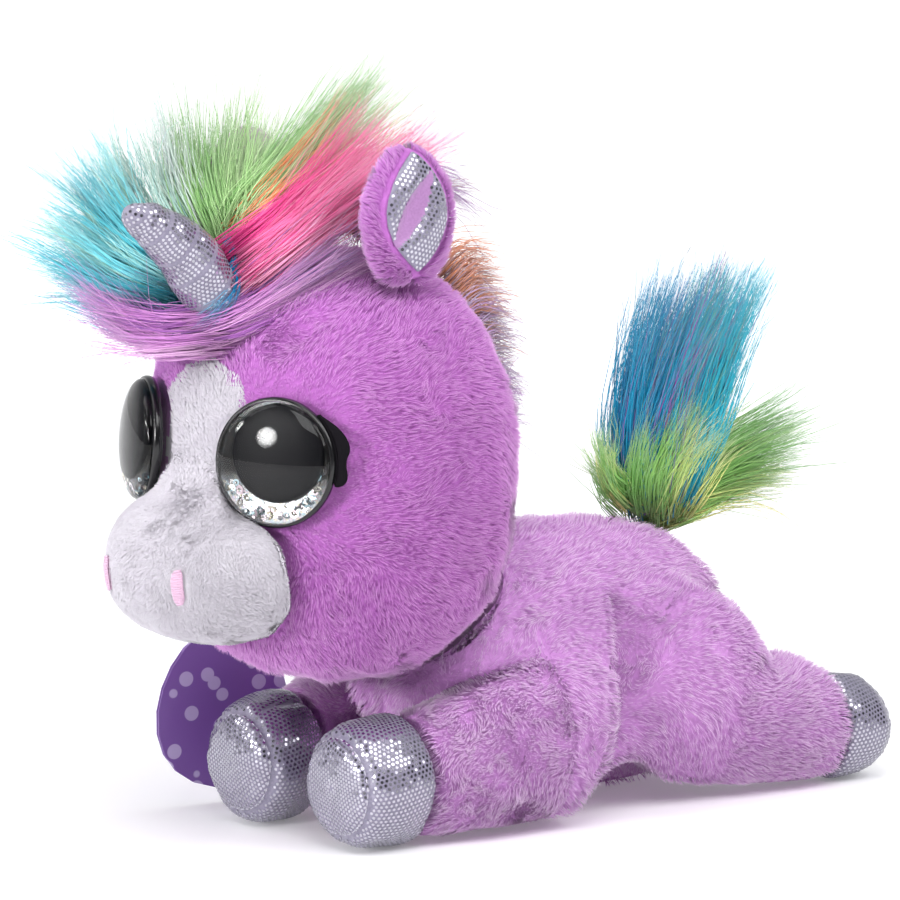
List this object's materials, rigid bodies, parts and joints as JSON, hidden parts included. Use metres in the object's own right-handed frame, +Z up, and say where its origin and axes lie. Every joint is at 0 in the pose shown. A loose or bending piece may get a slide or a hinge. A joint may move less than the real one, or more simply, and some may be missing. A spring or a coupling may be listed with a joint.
{
  "type": "plush unicorn",
  "caption": "Stuffed unicorn lying on its belly, with a big head, domed glitter eyes, silver foil-dot horn, hooves and ear linings, and a mane and tail of long rainbow pile.",
  "frame": {"origin": "on the flat of the belly that rests on the table, below the shoulder axis", "axes": "+Z up, -Y the way the face looks, +X the toy's own left"},
  "size_m": [0.1203, 0.2619, 0.2219],
  "materials": {
    "plush_lilac": "curly short pile",
    "pale_pile": "short pale pile",
    "foil_cloth": "silver foil-dot cloth",
    "fibrefill": "loose polyester fibre",
    "black_plastic": "glossy",
    "black_felt": "felt",
    "glitter_disc": "silver glitter",
    "clear_dome": "clear, polished",
    "clear_plastic": "translucent",
    "nostril_thread": "satin stitch",
    "tag_card": "printed card, satin",
    "forelock_cyan": "long silky pile",
    "forelock_aqua": "long silky pile",
    "forelock_green": "long silky pile",
    "forelock_orange": "long silky pile",
    "forelock_pink": "long silky pile",
    "forelock_lilac": "long silky pile",
    "crown_tuft": "long silky pile",
    "nape_tuft": "long silky pile",
    "tail_hair_blue": "long silky pile",
    "tail_hair_green": "long silky pile",
    "tail_hair_lime": "long silky pile",
    "tail_root": "long silky pile"
  },
  "bodies": {
    "torso": {"torso_skin": "plush_lilac", "torso_stuffing": "fibrefill", "tag_loop": "clear_plastic"},
    "neck": {"neck_stuffing": "fibrefill"},
    "head": {"head_skin": "plush_lilac", "head_stuffing": "fibrefill", "blaze_patch": "pale_pile", "muzzle_skin": "pale_pile", "muzzle_stuffing": "fibrefill", "nostril_left": "nostril_thread", "nostril_right": "nostril_thread", "horn_skin": "foil_cloth", "horn_stuffing": "fibrefill", "eye_back_left": "black_plastic", "eye_glitter_left": "glitter_disc", "eye_pupil_left": "black_plastic", "eye_lens_left": "clear_dome", "eye_washer_left": "clear_plastic", "eyelash_left": "black_felt", "eye_back_right": "black_plastic", "eye_glitter_right": "glitter_disc", "eye_pupil_right": "black_plastic", "eye_lens_right": "clear_dome", "eye_washer_right": "clear_plastic", "eyelash_right": "black_felt", "forelock_cyan": "forelock_cyan", "forelock_aqua": "forelock_aqua", "forelock_green": "forelock_green", "forelock_orange": "forelock_orange", "forelock_pink": "forelock_pink", "forelock_lilac": "forelock_lilac", "crown_tuft": "crown_tuft", "nape_tuft": "nape_tuft"},
    "ear_left": {"ear_left": "plush_lilac", "ear_lining_left": "foil_cloth"},
    "ear_right": {"ear_right": "plush_lilac", "ear_lining_right": "foil_cloth"},
    "foreleg_left": {"foreleg_left_skin": "plush_lilac", "foreleg_left_stuffing": "fibrefill", "foreleg_left_hoof": "foil_cloth", "foreleg_left_hoof_stuffing": "fibrefill"},
    "foreleg_right": {"foreleg_right_skin": "plush_lilac", "foreleg_right_stuffing": "fibrefill", "foreleg_right_hoof": "foil_cloth", "foreleg_right_hoof_stuffing": "fibrefill"},
    "hindleg_left": {"hindleg_left_skin": "plush_lilac", "hindleg_left_stuffing": "fibrefill", "hindleg_left_hoof": "foil_cloth", "hindleg_left_hoof_stuffing": "fibrefill"},
    "hindleg_right": {"hindleg_right_skin": "plush_lilac", "hindleg_right_stuffing": "fibrefill", "hindleg_right_hoof": "foil_cloth", "hindleg_right_hoof_stuffing": "fibrefill"},
    "tail": {"tail_root": "tail_root", "tail_hair_blue": "tail_hair_blue", "tail_hair_green": "tail_hair_green", "tail_hair_lime": "tail_hair_lime"},
    "tag": {"tag_card": "tag_card"}
  },
  "joints": [
    {"name": "head_nod", "type": "hinge", "parent": "torso", "child": "neck", "pos_m": [0, -0.058, 0.112], "axis": [1, 0, 0], "range_deg": [-8, 8], "stiffness_Nm_per_rad": 0.9},
    {"name": "head_turn", "type": "hinge", "parent": "neck", "child": "head", "pos_m": [0, -0.058, 0.112], "axis": [0, 0, 1], "range_deg": [-18, 18], "stiffness_Nm_per_rad": 0.5},
    {"name": "ear_left_fold", "type": "hinge", "parent": "head", "child": "ear_left", "pos_m": [0.037, -0.0585, 0.1745], "axis": [0, 1, 0], "range_deg": [-10, 25], "stiffness_Nm_per_rad": 0.02},
    {"name": "ear_right_fold", "type": "hinge", "parent": "head", "child": "ear_right", "pos_m": [-0.037, -0.0585, 0.1745], "axis": [0, 1, 0], "range_deg": [-25, 10], "stiffness_Nm_per_rad": 0.02},
    {"name": "foreleg_left_swing", "type": "hinge", "parent": "torso", "child": "foreleg_left", "pos_m": [0.035, 0, 0.0278], "axis": [1, 0, 0], "range_deg": [-4, 30], "stiffness_Nm_per_rad": 0.25},
    {"name": "foreleg_right_swing", "type": "hinge", "parent": "torso", "child": "foreleg_right", "pos_m": [-0.035, 0, 0.0278], "axis": [1, 0, 0], "range_deg": [-4, 30], "stiffness_Nm_per_rad": 0.25},
    {"name": "hindleg_left_swing", "type": "hinge", "parent": "torso", "child": "hindleg_left", "pos_m": [0.037, 0.058, 0.036], "axis": [1, 0, 0], "range_deg": [-30, 8], "stiffness_Nm_per_rad": 0.25},
    {"name": "hindleg_right_swing", "type": "hinge", "parent": "torso", "child": "hindleg_right", "pos_m": [-0.037, 0.058, 0.036], "axis": [1, 0, 0], "range_deg": [-30, 8], "stiffness_Nm_per_rad": 0.25},
    {"name": "tail_lift", "type": "hinge", "parent": "torso", "child": "tail", "pos_m": [0, 0.073, 0.0915], "axis": [1, 0, 0], "range_deg": [-15, 15], "stiffness_Nm_per_rad": 0.06},
    {"name": "tag_swing", "type": "hinge", "parent": "torso", "child": "tag", "pos_m": [-0.0545, -0.055, 0.051], "axis": [0.2588, 0.9659, 0], "range_deg": [0, 25]}
  ]
}
